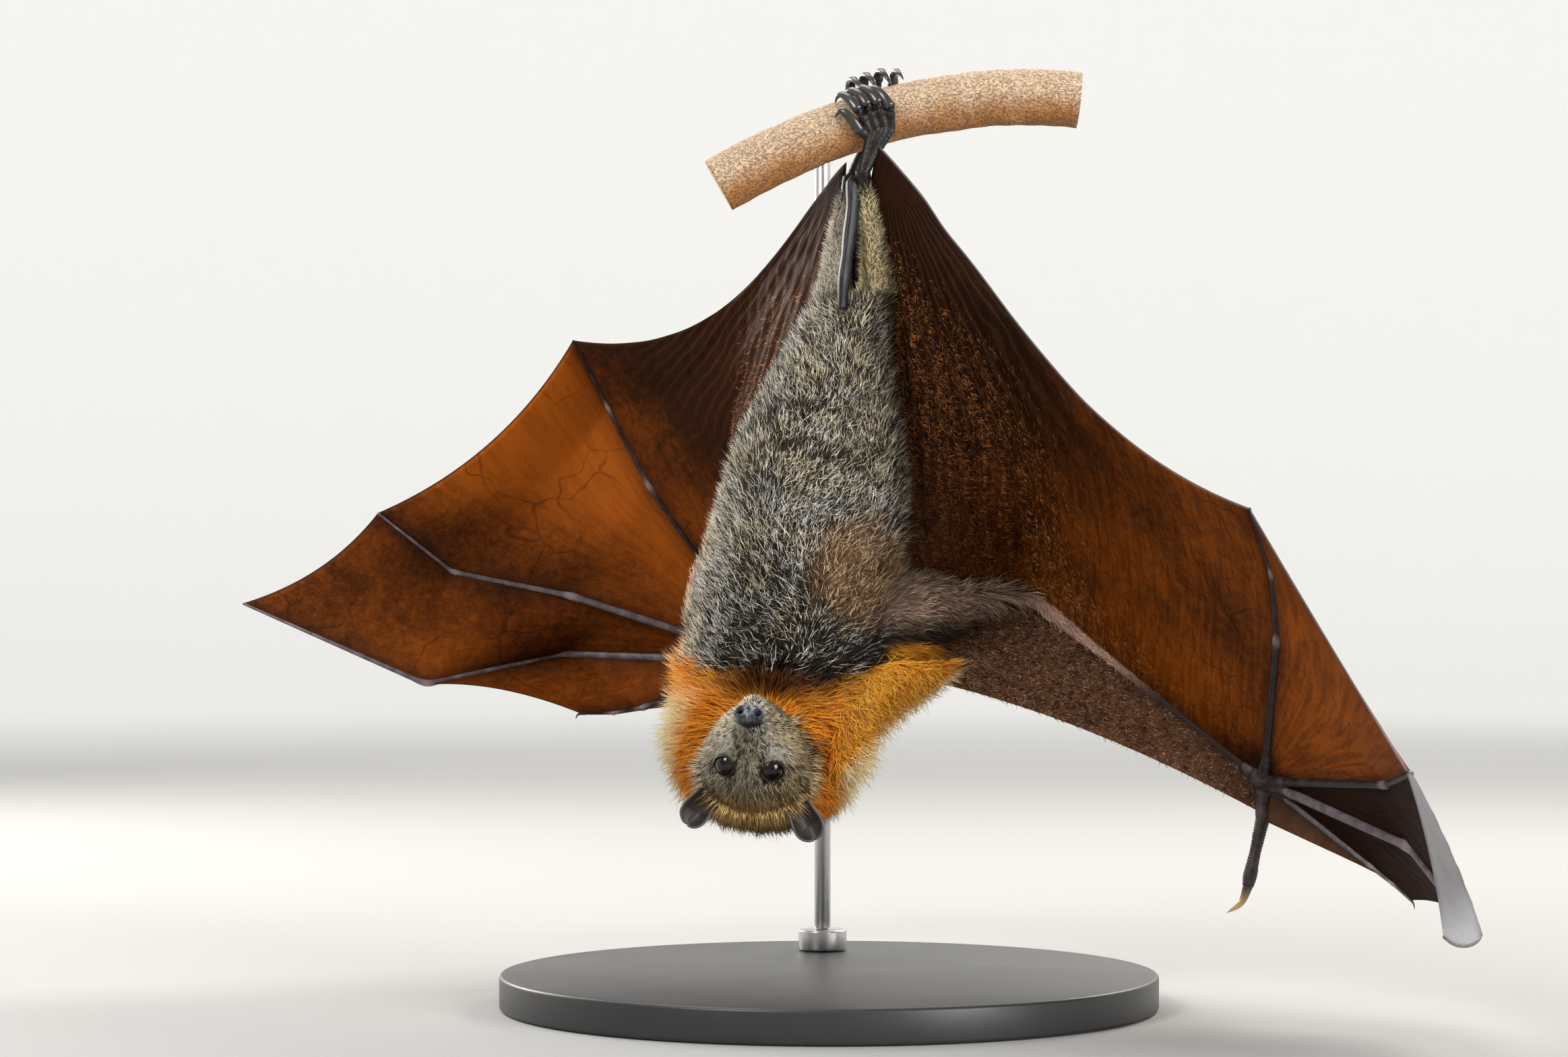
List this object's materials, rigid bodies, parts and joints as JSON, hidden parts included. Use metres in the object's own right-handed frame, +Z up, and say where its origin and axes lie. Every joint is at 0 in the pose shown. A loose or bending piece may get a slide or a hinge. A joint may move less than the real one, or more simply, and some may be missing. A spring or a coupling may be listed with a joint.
{
  "type": "grey-headed flying fox",
  "caption": "Life-size grey-headed flying fox hanging head down by its feet from a cut length of branch, wings half open, held up by a plain round stand.",
  "frame": {"origin": "middle of the underside of the stand's base", "axes": "+Z up, -Y the way the bat's belly faces, +X towards the bat's right wing; the metre scale is life size"},
  "size_m": [0.5711, 0.4942, 0.4408],
  "materials": {
    "grey_fur": "dense dark grey-brown fur with pale cream tips, matt",
    "orange_fur": "long orange fur of the mantle, darker under the chin, matt",
    "face_fur": "short grizzled grey-olive fur of the head, matt",
    "leg_fur": "short golden-olive fur of the lower legs and forearms, matt",
    "bare_skin": "bare blackish skin, low sheen",
    "membrane": "thin brown wing skin, veined, low sheen",
    "eye": "wet dark brown eye",
    "claw": "polished blackish horn",
    "bark": "smooth pale speckled bark",
    "stand_black": "satin black painted board",
    "stand_steel": "brushed steel rod"
  },
  "bodies": {
    "root": {"digit_2_left": "bare_skin", "digit_2_right": "bare_skin", "digit_3_left": "bare_skin", "digit_3_right": "bare_skin", "digit_4_left": "bare_skin", "digit_4_right": "bare_skin", "digit_5_left": "bare_skin", "digit_5_right": "bare_skin", "ear_left": "bare_skin", "ear_right": "bare_skin", "eye_left": "eye", "eye_right": "eye", "foot_left": "bare_skin", "foot_right": "bare_skin", "forearm_left": "leg_fur", "forearm_right": "leg_fur", "front_membrane_left": "membrane", "front_membrane_right": "membrane", "head": "face_fur", "membrane_2_3_left": "membrane", "membrane_2_3_right": "membrane", "membrane_3_4_left": "membrane", "membrane_3_4_right": "membrane", "membrane_4_5_left": "membrane", "membrane_4_5_right": "membrane", "neck": "orange_fur", "nose_pad": "bare_skin", "perch": "bark", "shank_left": "leg_fur", "shank_right": "leg_fur", "side_membrane_left": "membrane", "side_membrane_right": "membrane", "stand_arm": "stand_steel", "stand_base": "stand_black", "stand_collar": "stand_steel", "stand_post": "stand_steel", "tail_membrane_fold": "bare_skin", "thigh_left": "grey_fur", "thigh_right": "grey_fur", "thumb_claw_left": "claw", "thumb_claw_right": "claw", "thumb_left": "bare_skin", "thumb_right": "bare_skin", "trunk": "grey_fur", "upper_arm_left": "orange_fur", "upper_arm_right": "orange_fur", "wrist_left": "bare_skin", "wrist_right": "bare_skin"}
  },
  "joints": []
}
